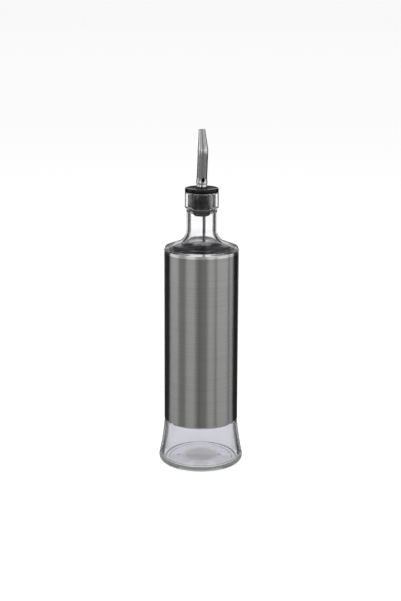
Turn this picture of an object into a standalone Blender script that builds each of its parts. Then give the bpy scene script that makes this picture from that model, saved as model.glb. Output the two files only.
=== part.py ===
"""Glass oil bottle in a steel sleeve, with a steel pourer in a black cork.

Metres, +Z up. The origin is the middle of the foot, on the surface that the
bottle stands on, and Z is the bottle's axis. The spout pours towards +Y, so
its vent hole faces -Y.
"""
import math

import bmesh
import bpy
from mathutils import Vector

# Foot of the bottle
foot_height = 0.0381
foot_spread = 0.0048
foot_wall = 0.0036
foot_flare_share = 1.5
heel_height = 0.0045
heel_width = 0.0031
floor_thickness = 0.0030
inner_heel_radius = 0.0060
bearing_width = 0.0060
punt_height = 0.0012

# Body and shoulder of the bottle
shoulder_radius = 0.0313
shoulder_slope = math.radians(21.3)
shoulder_edge_radius = 0.0012
inner_shoulder_radius = 0.0070
panel_recess = 0.0007
body_wall = 0.0030

# Neck and lip of the bottle
bore_radius = 0.00925
neck_wall = 0.0039
neck_widening = 0.00105
neck_widening_rise = 0.0030
neck_length = 0.0190
flare_radius = 0.0111
lip_step = 0.00135
lip_height = 0.0143
lip_chamfer = 0.0013
lip_edge_radius = 0.0008

# Steel sleeve, and the two bands of clear adhesive behind it
sleeve_length = 0.1511
sleeve_clearance = 0.0002
sleeve_wall = 0.0005
sleeve_edge_radius = 0.00018
sleeve_reveal = 0.0003
ledge_overlap = 0.0004
bond_height = 0.0080
bond_inset = 0.0090
bond_clearance = 0.00018

# Black cork
flange_inset = 0.0001
flange_thickness = 0.0036
flange_edge_radius = 0.0014
crown_width = 0.0022
crown_drop = 0.0006
plug_clearance = 0.00025
plug_length = 0.0202
rib_depth = 0.0003
rib_height = 0.0014
rib_places_share = (0.36, 0.80)
tail_length = 0.0066
tail_recess = 0.0019
tail_chamfer = 0.0009
fin_height = 0.0013
fin_rise = 0.0024

# Steel spout, its collar and the breather tube
stem_radius = 0.0037
stem_inset = 0.0006
spout_wall = 0.00042
collar_height = 0.0030
collar_wall = 0.0006
collar_bead = 0.0004
spout_foot_step = 0.0012
spout_foot_length = 0.0075
shank_step = 0.00075
shank_length = 0.0287
nose_length = 0.0171
nose_radius = 0.00272
nose_taper_share = 0.85
lean_back = math.radians(-8.0)
nose_tilt = math.radians(13.0)
lower_bend_start = 0.0038
lower_bend_length = 0.0070
upper_bend_length = 0.0085
stem_step_length = 0.0001
vent_radius = 0.00105
vent_height = 0.0027
vent_stretch_share = 1.7
breather_radius = 0.00098
breather_wall = 0.00028
breather_clearance = 0.00015
breather_turn = math.radians(55.0)
breather_drop = 0.0480
breather_bend_length = 0.0060

# Clearances between seated pieces, and the reach of a cutter past what it cuts
seat_gap = 0.0003
bore_gap = 0.0003
overrun = 0.0020
weld_distance = 0.00001

# Counts of steps and sides
turned_steps = 48
cork_steps = 40
tube_sides = 24
breather_sides = 12
arc_steps = 5
corner_steps = 2
edge_steps = 3
flare_steps = 7
foot_steps = 8
punt_steps = 4
bead_steps = 6
spout_foot_steps = 5
shank_steps = 7
nose_steps = 8
breather_steps = 4
run_parts = 6

# Radii worked out from the sizes above
panel_radius = shoulder_radius - panel_recess
sleeve_inner_radius = shoulder_radius + sleeve_clearance
sleeve_radius = sleeve_inner_radius + sleeve_wall
foot_top_radius = sleeve_inner_radius + ledge_overlap
foot_radius = foot_top_radius + foot_spread
heel_top_radius = foot_radius - heel_width
neck_radius = bore_radius + neck_wall
lip_radius = neck_radius + lip_step
flange_radius = lip_radius - flange_inset
rib_radius = bore_radius - plug_clearance
plug_radius = rib_radius - rib_depth
tail_radius = rib_radius - tail_recess
cork_bore_radius = stem_radius + bore_gap
spout_foot_radius = stem_radius + spout_foot_step
spout_radius = stem_radius + shank_step
collar_radius = cork_bore_radius + collar_wall
breather_place = stem_radius - spout_wall - breather_clearance - breather_radius

# Heights worked out from the sizes above
sleeve_bottom = foot_height + seat_gap
sleeve_top = sleeve_bottom + sleeve_length
shoulder_bottom = sleeve_top + sleeve_reveal
flare_sweep = math.pi / 2 - shoulder_slope
flare_end_radius = neck_radius + flare_radius * (1 - math.cos(flare_sweep))
edge_centre_radius = shoulder_radius - shoulder_edge_radius
edge_top_radius = edge_centre_radius + shoulder_edge_radius * math.sin(shoulder_slope)
edge_top = shoulder_bottom + shoulder_edge_radius * math.cos(shoulder_slope)
cone_rise = (edge_top_radius - flare_end_radius) * math.tan(shoulder_slope)
neck_foot = edge_top + cone_rise + flare_radius * math.sin(flare_sweep)
lip_bottom = neck_foot + neck_length
lip_top = lip_bottom + lip_height
flange_bottom = lip_top + seat_gap
flange_top = flange_bottom + flange_thickness
plug_bottom = flange_bottom - plug_length
collar_bottom = flange_top + seat_gap
collar_top = collar_bottom + collar_height
spout_foot_bottom = collar_top + seat_gap
stem_bottom = plug_bottom + stem_inset


def clear_scene():
    """Remove whatever the scene holds."""
    for item in list(bpy.data.objects):
        bpy.data.objects.remove(item)


def make_collection(name):
    """Make a collection in the scene."""
    collection = bpy.data.collections.new(name)
    bpy.context.scene.collection.children.link(collection)
    return collection


def make_material(name, colour, roughness, metallic, transmission=0.0):
    """Make a plain Principled material."""
    material = bpy.data.materials.new(name)
    material.use_nodes = True
    shader = material.node_tree.nodes["Principled BSDF"]
    shader.inputs["Base Color"].default_value = (*colour, 1.0)
    shader.inputs["Roughness"].default_value = roughness
    shader.inputs["Metallic"].default_value = metallic
    shader.inputs["Transmission Weight"].default_value = transmission
    material.diffuse_color = (*colour, 1.0)
    return material


def arc(centre, radii, start, end, steps=arc_steps):
    """Points of an elliptic arc, with its angles measured from +X."""
    points = []
    for step in range(steps + 1):
        angle = start + (end - start) * step / steps
        points.append((centre[0] + radii[0] * math.cos(angle), centre[1] + radii[1] * math.sin(angle)))
    return points


def round_corner(corner, radius, start, end):
    """Points of a quarter arc that rounds a corner of an upright profile."""
    centre = (corner[0] - radius * (math.cos(start) + math.cos(end)),
              corner[1] - radius * (math.sin(start) + math.sin(end)))
    return arc(centre, (radius, radius), start, end, corner_steps)


def shade_round(mesh):
    """Shade a round piece smooth, with its edges kept crisp."""
    mesh.shade_smooth()
    mesh.set_sharp_from_angle(angle=math.radians(32.0))


def turned(name, profile, closed, steps, material, collection):
    """Turn a profile of (radius, height) points around Z."""
    edges = [(index, index + 1) for index in range(len(profile) - 1)]
    if closed:
        edges.append((len(profile) - 1, 0))
    mesh = bpy.data.meshes.new(name)
    mesh.from_pydata([(radius, 0.0, height) for radius, height in profile], edges, [])
    mesh.materials.append(material)
    piece = bpy.data.objects.new(name, mesh)
    collection.objects.link(piece)
    screw = piece.modifiers.new("turn", "SCREW")
    screw.axis = "Z"
    screw.angle = math.tau
    screw.steps = steps
    screw.render_steps = steps
    screw.use_merge_vertices = True
    screw.merge_threshold = weld_distance
    screw.use_smooth_shade = True
    return piece


def foot_outer_radius(height):
    """Outer radius of the glass foot, which flares from its top to its heel."""
    share = (foot_height - height) / (foot_height - heel_height)
    return foot_top_radius + (foot_radius - foot_top_radius) * share ** foot_flare_share


def bottle_inside():
    """Inner side of the glass, from the middle of its floor up to the lip."""
    start = floor_thickness + inner_heel_radius
    wall_radius = foot_outer_radius(start) - foot_wall
    corner_radius = wall_radius - inner_heel_radius
    points = [(0.0, floor_thickness + punt_height)]
    points += arc((corner_radius, start), (inner_heel_radius, inner_heel_radius), -math.pi / 2, 0.0)
    for step in range(1, arc_steps):
        height = start + (foot_height - start) * step / arc_steps
        blend = foot_wall + (body_wall - foot_wall) * step / arc_steps
        points.append((min(foot_outer_radius(height) - blend, points[-1][0]), height))
    inner_radius = panel_radius - body_wall
    points.append((inner_radius, foot_height + foot_wall))
    points += inner_shoulder(inner_radius)
    points.append((bore_radius + neck_widening, lip_bottom - neck_widening_rise))
    points.append((bore_radius, lip_bottom))
    points.append((bore_radius, lip_top - lip_edge_radius))
    return points


def inner_shoulder(inner_radius):
    """Inner side of the shoulder, from the body's wall to the neck's widened bore."""
    centre_radius = neck_radius + flare_radius
    thin_wall = neck_wall - neck_widening
    slope_gap = body_wall / math.cos(shoulder_slope)
    turn_radius = inner_radius - inner_shoulder_radius
    touch_radius = turn_radius + inner_shoulder_radius * math.sin(shoulder_slope)
    cone_height = edge_top + (edge_top_radius - touch_radius) * math.tan(shoulder_slope) - slope_gap
    turn_height = cone_height - inner_shoulder_radius * math.cos(shoulder_slope)
    points = arc((turn_radius, turn_height), (inner_shoulder_radius, inner_shoulder_radius),
                 0.0, math.pi / 2 - shoulder_slope, edge_steps)
    for step in range(arc_steps + 1):
        share = step / arc_steps
        angle = 1.5 * math.pi - shoulder_slope - flare_sweep * share
        wall = body_wall + (thin_wall - body_wall) * share
        reach = flare_radius + wall
        points.append((centre_radius + reach * math.cos(angle), neck_foot + reach * math.sin(angle)))
    return points


def bottle_outside():
    """Outer side of the glass, from the lip down to the middle of its base."""
    points = round_corner((bore_radius, lip_top), lip_edge_radius, math.pi, math.pi / 2)
    points += round_corner((lip_radius, lip_top), lip_edge_radius, math.pi / 2, 0.0)
    points.append((lip_radius, lip_bottom + lip_chamfer))
    points.append((neck_radius, lip_bottom))
    points += arc((neck_radius + flare_radius, neck_foot), (flare_radius, flare_radius),
                  math.pi, math.pi + flare_sweep, flare_steps)
    points += arc((edge_centre_radius, shoulder_bottom), (shoulder_edge_radius, shoulder_edge_radius),
                  math.pi / 2 - shoulder_slope, 0.0, edge_steps)
    points.append((panel_radius, shoulder_bottom - panel_recess))
    points.append((panel_radius, foot_height))
    for step in range(foot_steps):
        height = foot_height + (heel_height - foot_height) * step / foot_steps
        points.append((foot_outer_radius(height), height))
    points += arc((heel_top_radius, heel_height), (heel_width, heel_height), 0.0, -math.pi / 2)
    points += arc((0.0, 0.0), (heel_top_radius - bearing_width, punt_height), 0.0, math.pi / 2, punt_steps)
    return points


def make_bottle(collection):
    """Make the glass bottle."""
    glass = make_material("clear_glass", (0.86, 0.87, 0.89), 0.03, 0.0, 1.0)
    return turned("glass_bottle", bottle_inside() + bottle_outside(), False, turned_steps, glass, collection)


def make_sleeve(collection):
    """Make the brushed sleeve, a thin tube that stands on the foot's ledge."""
    steel = make_material("brushed_steel", (0.44, 0.44, 0.43), 0.34, 1.0)
    profile = round_corner((sleeve_inner_radius, sleeve_top), sleeve_edge_radius, math.pi, math.pi / 2)
    profile += round_corner((sleeve_radius, sleeve_top), sleeve_edge_radius, math.pi / 2, 0.0)
    profile += round_corner((sleeve_radius, sleeve_bottom), sleeve_edge_radius, 0.0, -math.pi / 2)
    profile.append((sleeve_inner_radius, sleeve_bottom))
    return turned("steel_sleeve", profile, True, turned_steps, steel, collection)


def make_bond(name, middle, material, collection):
    """Make a band of adhesive between the glass and the sleeve."""
    inner = panel_radius + bond_clearance
    outer = sleeve_inner_radius - bond_clearance
    low = middle - bond_height / 2
    high = middle + bond_height / 2
    profile = [(inner, high), (outer, high), (outer, low), (inner, low)]
    return turned(name, profile, True, turned_steps, material, collection)


def cork_outside():
    """Outer side of the cork, from the rim of its bore down to its tail."""
    crown_radius = flange_radius - flange_edge_radius - crown_width
    points = [(crown_radius, flange_top)]
    points += arc((flange_radius - flange_edge_radius, flange_top - crown_drop - flange_edge_radius),
                  (flange_edge_radius, flange_edge_radius), math.pi / 2, 0.0, edge_steps)
    points.append((flange_radius, flange_bottom))
    points.append((rib_radius, flange_bottom))
    barrel = plug_length - tail_length
    for share in rib_places_share:
        middle = flange_bottom - barrel * share
        points.append((plug_radius, middle + rib_height))
        points.append((rib_radius, middle + rib_height / 2))
        points.append((rib_radius, middle - rib_height / 2))
        points.append((plug_radius, middle - rib_height))
    barrel_bottom = flange_bottom - barrel
    points.append((plug_radius, barrel_bottom))
    points.append((tail_radius, barrel_bottom - (plug_radius - tail_radius) / 2))
    fin_bottom = plug_bottom + fin_rise
    points.append((tail_radius, fin_bottom + fin_height))
    points.append((rib_radius, fin_bottom + fin_height / 2))
    points.append((rib_radius, fin_bottom))
    points.append((tail_radius, fin_bottom))
    points.append((tail_radius, plug_bottom + tail_chamfer))
    points.append((tail_radius - tail_chamfer, plug_bottom))
    return points


def make_cork(collection):
    """Make the black cork: flange, ribbed plug and finned tail, bored through."""
    rubber = make_material("black_rubber", (0.012, 0.012, 0.013), 0.45, 0.0)
    profile = [(cork_bore_radius, flange_top)] + cork_outside() + [(cork_bore_radius, plug_bottom)]
    return turned("pourer_cork", profile, True, cork_steps, rubber, collection)


def make_collar(steel, collection):
    """Make the bright ring that the spout's foot stands on."""
    middle = (collar_radius - collar_bead, (collar_bottom + collar_top) / 2)
    profile = arc(middle, (collar_bead, collar_height / 2), math.pi / 2, -math.pi / 2, bead_steps)
    profile += [(cork_bore_radius, collar_bottom), (cork_bore_radius, collar_top)]
    return turned("spout_collar", profile, True, turned_steps, steel, collection)


def spout_stations():
    """Heights along the spout's unbent length, each with its outer radius."""
    stations = [(stem_bottom, stem_radius), (spout_foot_bottom - stem_step_length, stem_radius)]
    for step in range(spout_foot_steps + 1):
        share = step / spout_foot_steps
        swell = (spout_foot_radius - spout_radius) * (1 - share) ** 2
        stations.append((spout_foot_bottom + spout_foot_length * share, spout_radius + swell))
    for step in range(1, shank_steps + 1):
        rise = spout_foot_length + (shank_length - spout_foot_length) * step / shank_steps
        stations.append((spout_foot_bottom + rise, spout_radius))
    for step in range(1, nose_steps + 1):
        share = step / nose_steps
        radius = spout_radius + (nose_radius - spout_radius) * share ** nose_taper_share
        stations.append((spout_foot_bottom + shank_length + nose_length * share, radius))
    return stations


def spout_tilt(height):
    """Angle from Z of the spout's centre line, at a height on its unbent length."""
    lower_start = spout_foot_bottom + lower_bend_start
    upper_start = spout_foot_bottom + shank_length - upper_bend_length / 2
    lower_share = min(max((height - lower_start) / lower_bend_length, 0.0), 1.0)
    upper_share = min(max((height - upper_start) / upper_bend_length, 0.0), 1.0)
    return lean_back * lower_share + (nose_tilt - lean_back) * upper_share


def spout_centre_line():
    """Points of the spout's centre line, each with its outer radius."""
    place = Vector((0.0, 0.0, stem_bottom))
    last = stem_bottom
    points = []
    for height, radius in spout_stations():
        run = (height - last) / run_parts
        for part in range(run_parts):
            angle = spout_tilt(last + run * (part + 0.5))
            place = place + Vector((0.0, math.sin(angle) * run, math.cos(angle) * run))
        last = height
        points.append((place.copy(), radius))
    return points


def tube(name, points, wall, sides, material, collection):
    """Make a hollow tube along points that each carry an outer radius."""
    curve = bpy.data.curves.new(name, "CURVE")
    curve.dimensions = "3D"
    curve.twist_mode = "MINIMUM"
    widest = max(radius for place, radius in points)
    curve.bevel_depth = widest
    curve.bevel_resolution = sides // 4 - 1
    curve.use_fill_caps = False
    spline = curve.splines.new("POLY")
    spline.points.add(len(points) - 1)
    for point, (place, radius) in zip(spline.points, points):
        point.co = (*place, 1.0)
        point.radius = radius / widest
    guide = bpy.data.objects.new(name, curve)
    collection.objects.link(guide)
    graph = bpy.context.evaluated_depsgraph_get()
    mesh = bpy.data.meshes.new_from_object(guide.evaluated_get(graph))
    mesh.name = name
    piece = bpy.data.objects.new(name + "_solid", mesh)
    piece.matrix_world = guide.matrix_world
    bpy.data.objects.remove(guide)
    piece.name = name
    collection.objects.link(piece)
    weld_mesh(mesh)
    mesh.materials.clear()
    mesh.materials.append(material)
    shell = piece.modifiers.new("wall", "SOLIDIFY")
    shell.thickness = wall
    shell.offset = -1.0
    shell.use_even_offset = True
    return piece


def weld_mesh(mesh):
    """Weld the doubled points of a mesh."""
    work = bmesh.new()
    work.from_mesh(mesh)
    bmesh.ops.remove_doubles(work, verts=work.verts, dist=weld_distance)
    work.to_mesh(mesh)
    work.free()
    shade_round(mesh)


def make_vent_cutter(collection):
    """Make the oval cutter of the vent hole in the front of the spout's foot."""
    mesh = bpy.data.meshes.new("vent_cutter")
    work = bmesh.new()
    bmesh.ops.create_cone(work, cap_ends=True, segments=tube_sides, radius1=vent_radius,
                          radius2=vent_radius, depth=spout_foot_radius + overrun)
    work.to_mesh(mesh)
    work.free()
    cutter = bpy.data.objects.new("vent_cutter", mesh)
    collection.objects.link(cutter)
    cutter.rotation_euler = (math.pi / 2, 0.0, 0.0)
    cutter.scale = (1.0, vent_stretch_share, 1.0)
    reach = (spout_foot_radius + overrun) / 2
    cutter.location = (0.0, -reach, spout_foot_bottom + vent_height)
    cutter.hide_render = True
    cutter.display_type = "WIRE"
    return cutter


def make_spout(steel, collection, cutters):
    """Make the bent, tapered spout with its vent hole."""
    spout = tube("spout_tube", spout_centre_line(), spout_wall, tube_sides, steel, collection)
    hole = spout.modifiers.new("vent", "BOOLEAN")
    hole.operation = "DIFFERENCE"
    hole.object = make_vent_cutter(cutters)
    return spout


def make_breather(steel, collection):
    """Make the thin tube that lets air in behind the oil."""
    top = spout_foot_bottom + vent_height - vent_radius
    low = plug_bottom - breather_drop
    points = []
    for step in range(breather_steps + 1):
        share = step / breather_steps
        turn = breather_turn * share
        place = Vector((math.sin(turn), -math.cos(turn), 0.0)) * breather_place
        points.append((place + Vector((0.0, 0.0, top - breather_bend_length * share)), breather_radius))
    below = Vector((points[-1][0].x, points[-1][0].y, low))
    points.append((below, breather_radius))
    return tube("breather_tube", points, breather_wall, breather_sides, steel, collection)


def make_part():
    """Make every piece of the bottle."""
    clear_scene()
    pieces = make_collection("oil_bottle")
    cutters = make_collection("cutters")
    polished = make_material("polished_steel", (0.55, 0.55, 0.55), 0.16, 1.0)
    adhesive = make_material("clear_adhesive", (0.80, 0.80, 0.76), 0.35, 0.0, 0.7)
    make_bottle(pieces)
    make_sleeve(pieces)
    bond_rise = bond_inset + bond_height / 2
    make_bond("sleeve_bond_lower", sleeve_bottom + bond_rise, adhesive, pieces)
    make_bond("sleeve_bond_upper", sleeve_top - bond_rise, adhesive, pieces)
    make_cork(pieces)
    make_collar(polished, pieces)
    make_spout(polished, pieces, cutters)
    make_breather(polished, pieces)


make_part()
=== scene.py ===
# %% [markdown]
# An oil bottle in a steel sleeve
#
# The real thing is a clear glass bottle with a wide, thick foot. A thin tube of brushed steel is
# slipped over its body, and a bent steel pourer in a black cork stands in its mouth.
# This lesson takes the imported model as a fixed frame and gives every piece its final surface.
# All lengths are metres, +Z is up, and the bottle stands on the floor at the origin.

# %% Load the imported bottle
import math

import bpy
from mathutils import Euler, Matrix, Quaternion, Vector


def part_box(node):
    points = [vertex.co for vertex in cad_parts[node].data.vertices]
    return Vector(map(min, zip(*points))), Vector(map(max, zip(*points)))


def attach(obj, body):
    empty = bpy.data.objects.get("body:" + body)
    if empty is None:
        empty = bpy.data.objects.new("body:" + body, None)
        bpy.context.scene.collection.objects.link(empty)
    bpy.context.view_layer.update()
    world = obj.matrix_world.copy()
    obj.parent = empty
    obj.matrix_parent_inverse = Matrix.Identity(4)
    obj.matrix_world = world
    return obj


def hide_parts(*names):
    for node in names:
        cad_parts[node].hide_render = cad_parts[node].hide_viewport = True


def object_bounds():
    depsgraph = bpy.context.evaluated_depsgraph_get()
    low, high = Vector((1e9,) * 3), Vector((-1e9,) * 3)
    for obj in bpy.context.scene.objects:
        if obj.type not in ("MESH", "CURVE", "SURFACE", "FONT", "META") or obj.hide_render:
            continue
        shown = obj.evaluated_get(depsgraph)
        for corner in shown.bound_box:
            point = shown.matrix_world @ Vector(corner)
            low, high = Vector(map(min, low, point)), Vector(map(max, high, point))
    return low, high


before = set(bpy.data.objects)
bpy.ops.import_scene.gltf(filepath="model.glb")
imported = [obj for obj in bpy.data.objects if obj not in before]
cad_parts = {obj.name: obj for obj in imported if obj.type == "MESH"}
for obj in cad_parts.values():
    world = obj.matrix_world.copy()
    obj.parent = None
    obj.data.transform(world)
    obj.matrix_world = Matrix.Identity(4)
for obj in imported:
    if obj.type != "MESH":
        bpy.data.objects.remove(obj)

cad_low, cad_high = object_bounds()
print("nodes:", sorted(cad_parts))
print("box in mm:", [round(1000 * side, 1) for side in cad_high - cad_low])

# %% [markdown]
# The camera
#
# The photograph looks down on the bottle from a little above its spout, from slightly to the left
# of the side that its vent hole faces. The tiny turn, tip and roll put the bottle's axis where it
# stands in the picture. The lens is long, so the sleeve's sides stay almost parallel.

# %% Camera
camera_side = math.radians(-15.0)
camera_distance = 1.050
camera_height = 0.4125
camera_dip = math.radians(14.342)
camera_turn = math.radians(0.039)
camera_roll = math.radians(0.24)
camera_lens = 75.3
film_long_side = 36.0

towards_camera = Vector((math.sin(camera_side), -math.cos(camera_side), 0.0))
camera_right = Vector((math.cos(camera_side), math.sin(camera_side), 0.0))

camera_data = bpy.data.cameras.new("photo_camera")
camera_data.lens = camera_lens
camera_data.sensor_width = film_long_side
camera = bpy.data.objects.new("photo_camera", camera_data)
bpy.context.scene.collection.objects.link(camera)
camera.location = towards_camera * camera_distance + Vector((0.0, 0.0, camera_height))
level_look = Euler((math.pi / 2 - camera_dip, 0.0, camera_side + camera_turn)).to_quaternion()
camera.rotation_euler = (level_look @ Quaternion((0.0, 0.0, 1.0), camera_roll)).to_euler()
bpy.context.scene.camera = camera
bpy.context.scene.view_settings.view_transform = "Standard"
print("camera at", [round(part, 3) for part in camera.location])

# %% [markdown]
# Helpers for materials
#
# A material here is a small network of nodes. These helpers add a node with its settings and wire
# it to the ones before it, so that each material below reads from top to bottom.

# %% Node helpers
# A Mix node also has sockets that are no colours, so these numbers pick the colours.
mix_inputs = (6, 7)
mix_output = 2


def add_node(tree, kind, **settings):
    """Add a node, with its plain settings given by name."""
    node = tree.nodes.new(kind)
    for name, value in settings.items():
        setattr(node, name, value)
    return node


def set_sockets(node, **values):
    """Set the node's input sockets, with spaces in their names written as underscores."""
    for name, value in values.items():
        node.inputs[name.replace("_", " ")].default_value = value
    return node


def new_material(name, **values):
    """Make a material, its tree and its Principled shader, with fixed sockets set by name."""
    material = bpy.data.materials.new(name)
    material.use_nodes = True
    shader = material.node_tree.nodes["Principled BSDF"]
    return material, material.node_tree, set_sockets(shader, **values)


def maths(tree, operation, first, second):
    """Add a Math node. Each input is a number or a socket."""
    node = add_node(tree, "ShaderNodeMath", operation=operation)
    for socket, value in zip(node.inputs, (first, second)):
        if isinstance(value, (int, float)):
            socket.default_value = value
        else:
            tree.links.new(value, socket)
    return node.outputs["Value"]


def ramp(tree, value, stops):
    """Add a Color Ramp with (position, colour) stops."""
    node = add_node(tree, "ShaderNodeValToRGB")
    elements = node.color_ramp.elements
    while len(elements) < len(stops):
        elements.new(0.5)
    for element, (position, colour) in zip(elements, stops):
        element.position = position
        element.color = (*colour, 1.0)
    tree.links.new(value, node.inputs["Fac"])
    return node.outputs["Color"]


def mix_colours(tree, share, first, second):
    """Add a Mix node from the first colour to the second, each a colour or a socket."""
    node = add_node(tree, "ShaderNodeMix", data_type="RGBA")
    tree.links.new(share, node.inputs["Factor"])
    for number, value in zip(mix_inputs, (first, second)):
        socket = node.inputs[number]
        if isinstance(value, tuple):
            socket.default_value = (*value, 1.0)
        else:
            tree.links.new(value, socket)
    return node.outputs[mix_output]


print("helpers ready")

# %% [markdown]
# Helpers for shapes
#
# Nearly every mesh below starts as a circle that is extruded, moved and scaled. These helpers
# place the circle, extrude it, and turn all faces to one side once the skin is grown.

# %% Shape helpers
def start_ring(name, sides, radius, place, fill="NOTHING"):
    """Start a piece as a circle, in edit mode with everything selected."""
    bpy.ops.object.select_all(action="DESELECT")
    bpy.ops.mesh.primitive_circle_add(vertices=sides, radius=radius, fill_type=fill, location=place)
    bpy.ops.object.transform_apply(location=True, rotation=True, scale=True)
    piece = bpy.context.active_object
    piece.name = name
    piece.data.name = name
    bpy.ops.object.mode_set(mode="EDIT")
    bpy.ops.mesh.select_all(action="SELECT")
    return piece


def extrude(shift):
    """Extrude the selected edges, and move the new ones."""
    bpy.ops.mesh.extrude_edges_move(TRANSFORM_OT_translate={"value": shift})


def recalculate_normals(inside=False):
    """Turn every face outwards, or else inwards, and go back to object mode."""
    bpy.ops.mesh.select_all(action="SELECT")
    bpy.ops.mesh.normals_make_consistent(inside=inside)
    bpy.ops.object.mode_set(mode="OBJECT")


print("shape helpers ready")

# %% [markdown]
# The stage
#
# The photograph is taken in bright white surroundings. A wide disc whose rim curves up into a low
# wall makes a floor and a backdrop in one surface. Its colour reaches plain white for the camera,
# for mirrors and through glass, and part of it is ordinary paint, so that the bottle still leaves
# a soft shadow.

# %% Floor and backdrop
sweep_radius = 12.0
sweep_wall_height = 4.0
sweep_bend_radius = 1.5
sweep_sides = 96
sweep_bend_steps = 8
sweep_crease = math.radians(30.0)
paint_share = 0.30
glow_share = 0.90
white = (1.0, 1.0, 1.0, 1.0)
floor_drop = 0.0004


def make_sweep_material():
    """White paint with a plain glow that the camera, mirrors and glass see."""
    paint = (paint_share, paint_share, paint_share, 1.0)
    material, tree, shader = new_material("white_sweep", Base_Color=paint, Roughness=0.9,
                                          Specular_IOR_Level=0.0, Emission_Color=white)
    rays = add_node(tree, "ShaderNodeLightPath").outputs
    seen = maths(tree, "MAXIMUM", rays["Is Camera Ray"], rays["Is Glossy Ray"])
    seen = maths(tree, "MULTIPLY", seen, glow_share)
    glow = maths(tree, "MAXIMUM", seen, rays["Is Transmission Ray"])
    tree.links.new(glow, shader.inputs["Emission Strength"])
    return material


def make_sweep():
    """Make the floor and backdrop: a filled circle with its rim extruded up round a bend."""
    sweep = start_ring("white_sweep", sweep_sides, sweep_radius, (0.0, 0.0, -floor_drop), "NGON")
    bpy.ops.mesh.select_mode(type="EDGE")
    bpy.ops.mesh.region_to_loop()
    for step in range(sweep_bend_steps):
        low = step / sweep_bend_steps * math.pi / 2
        high = (step + 1) / sweep_bend_steps * math.pi / 2
        out = sweep_bend_radius * (math.sin(high) - math.sin(low))
        rise = sweep_bend_radius * (math.cos(low) - math.cos(high))
        reach = sweep_radius + sweep_bend_radius * math.sin(low)
        extrude((0.0, 0.0, rise))
        growth = (reach + out) / reach
        bpy.ops.transform.resize(value=(growth, growth, 1.0), center_override=(0.0, 0.0, 0.0))
    extrude((0.0, 0.0, sweep_wall_height))
    recalculate_normals(inside=True)
    bpy.ops.object.shade_smooth_by_angle(angle=sweep_crease)
    sweep.data.materials.append(make_sweep_material())
    print("sweep faces:", len(sweep.data.polygons))


make_sweep()

# %% [markdown]
# The lights
#
# Tall softboxes stand to the left and right of the camera, with a gap in the middle where the
# camera is. A steel tube mirrors them as broad upright bands with a darker stripe between them.
# A large panel hangs overhead. Sides are angles round the bottle, counted from the camera and
# positive to its right, so each band on the steel can be traced to one lamp or gap.

# %% Lights
softbox_height = 1.5
overhead_place = (0.0, 0.1, 1.6)
air_colour = (0.22, 0.22, 0.23, 1.0)


def studio_place(side, distance, height):
    """A place round the bottle, at a side given in radians."""
    flat = towards_camera * math.cos(side) + camera_right * math.sin(side)
    return flat * distance + Vector((0.0, 0.0, height))


def add_lamp(name, place, turn, width, length, radiance):
    """An even rectangular lamp that shines along its own -Z."""
    lamp_data = bpy.data.lights.new(name, "AREA")
    lamp_data.shape = "RECTANGLE"
    lamp_data.size = width
    lamp_data.size_y = length
    lamp_data.energy = radiance * math.pi * lamp_data.size * length
    lamp = bpy.data.objects.new(name, lamp_data)
    bpy.context.scene.collection.objects.link(lamp)
    lamp.location = place
    lamp.rotation_euler = turn


def add_softbox(name, first_side, last_side, distance, radiance):
    """A tall lamp that stands on the floor and fills the sides between two angles in degrees."""
    middle = math.radians(first_side + last_side) / 2
    width = 2 * distance * math.tan(math.radians(last_side - first_side) / 2)
    turn = studio_place(middle, distance, 0.0).to_track_quat("Z", "Y").to_euler()
    add_lamp(name, studio_place(middle, distance, softbox_height / 2), turn, width, softbox_height, radiance)


# Each row holds the name, the first and the last side, the distance and the radiance.
softboxes = [("left_far_softbox", -109, -74, 1.3, 0.85),
             ("left_near_softbox", -47, -19, 1.4, 0.82),
             ("right_near_softbox", 19.5, 42.5, 1.4, 0.78),
             ("right_side_softbox", 47.5, 89.5, 1.3, 0.90),
             ("right_far_softbox", 94.5, 112.5, 1.3, 0.82)]
for softbox in softboxes:
    add_softbox(*softbox)
add_lamp("overhead_panel", studio_place(*overhead_place), (0.0, 0.0, camera_side), width=1.3, length=1.1,
         radiance=2.4)

world = bpy.data.worlds.new("studio_air")
bpy.context.scene.world = world
world.use_nodes = True
world.node_tree.nodes["Background"].inputs["Color"].default_value = air_colour
print("lamps:", sorted(lamp.name for lamp in bpy.data.lights))

# %% [markdown]
# Grey cards
#
# A photographer shapes what metal and glass show with cards that stay out of the picture. Most of
# them are rings round the bottle, and each stretch between two sides has its own tone. A card is
# seen either in mirrors only or through glass only.

# %% Card helpers
card_sides = 180
black = (0.0, 0.0, 0.0, 1.0)


def make_card_material(tone):
    """A card of one even tone, which is what it shows whatever the lamps do."""
    return new_material("card_tone", Base_Color=black, Roughness=1.0, Specular_IOR_Level=0.0,
                        Emission_Color=white, Emission_Strength=tone)[0]


def tone_card(card, tones, seen_in):
    """Tone each stretch of a card, remove the rest, and choose what sees the card."""
    for first, last, tone in tones:
        card.data.materials.append(make_card_material(tone))
    bpy.ops.object.mode_set(mode="EDIT")
    bpy.ops.mesh.select_mode(type="FACE")
    bpy.ops.mesh.select_all(action="DESELECT")
    bpy.ops.object.mode_set(mode="OBJECT")
    for face in card.data.polygons:
        side = math.degrees(math.atan2(face.center.dot(camera_right), face.center.dot(towards_camera)))
        found = [place for place, (first, last, tone) in enumerate(tones) if first <= side < last]
        face.material_index = found[0] if found else 0
        face.select = not found
    bpy.ops.object.mode_set(mode="EDIT")
    bpy.ops.mesh.delete(type="FACE")
    bpy.ops.object.mode_set(mode="OBJECT")
    card.visible_camera = False
    card.visible_diffuse = False
    card.visible_shadow = False
    card.visible_volume_scatter = False
    card.visible_glossy = seen_in == "mirrors"
    card.visible_transmission = seen_in == "glass"
    print(card.name, "faces:", len(card.data.polygons))


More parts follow.
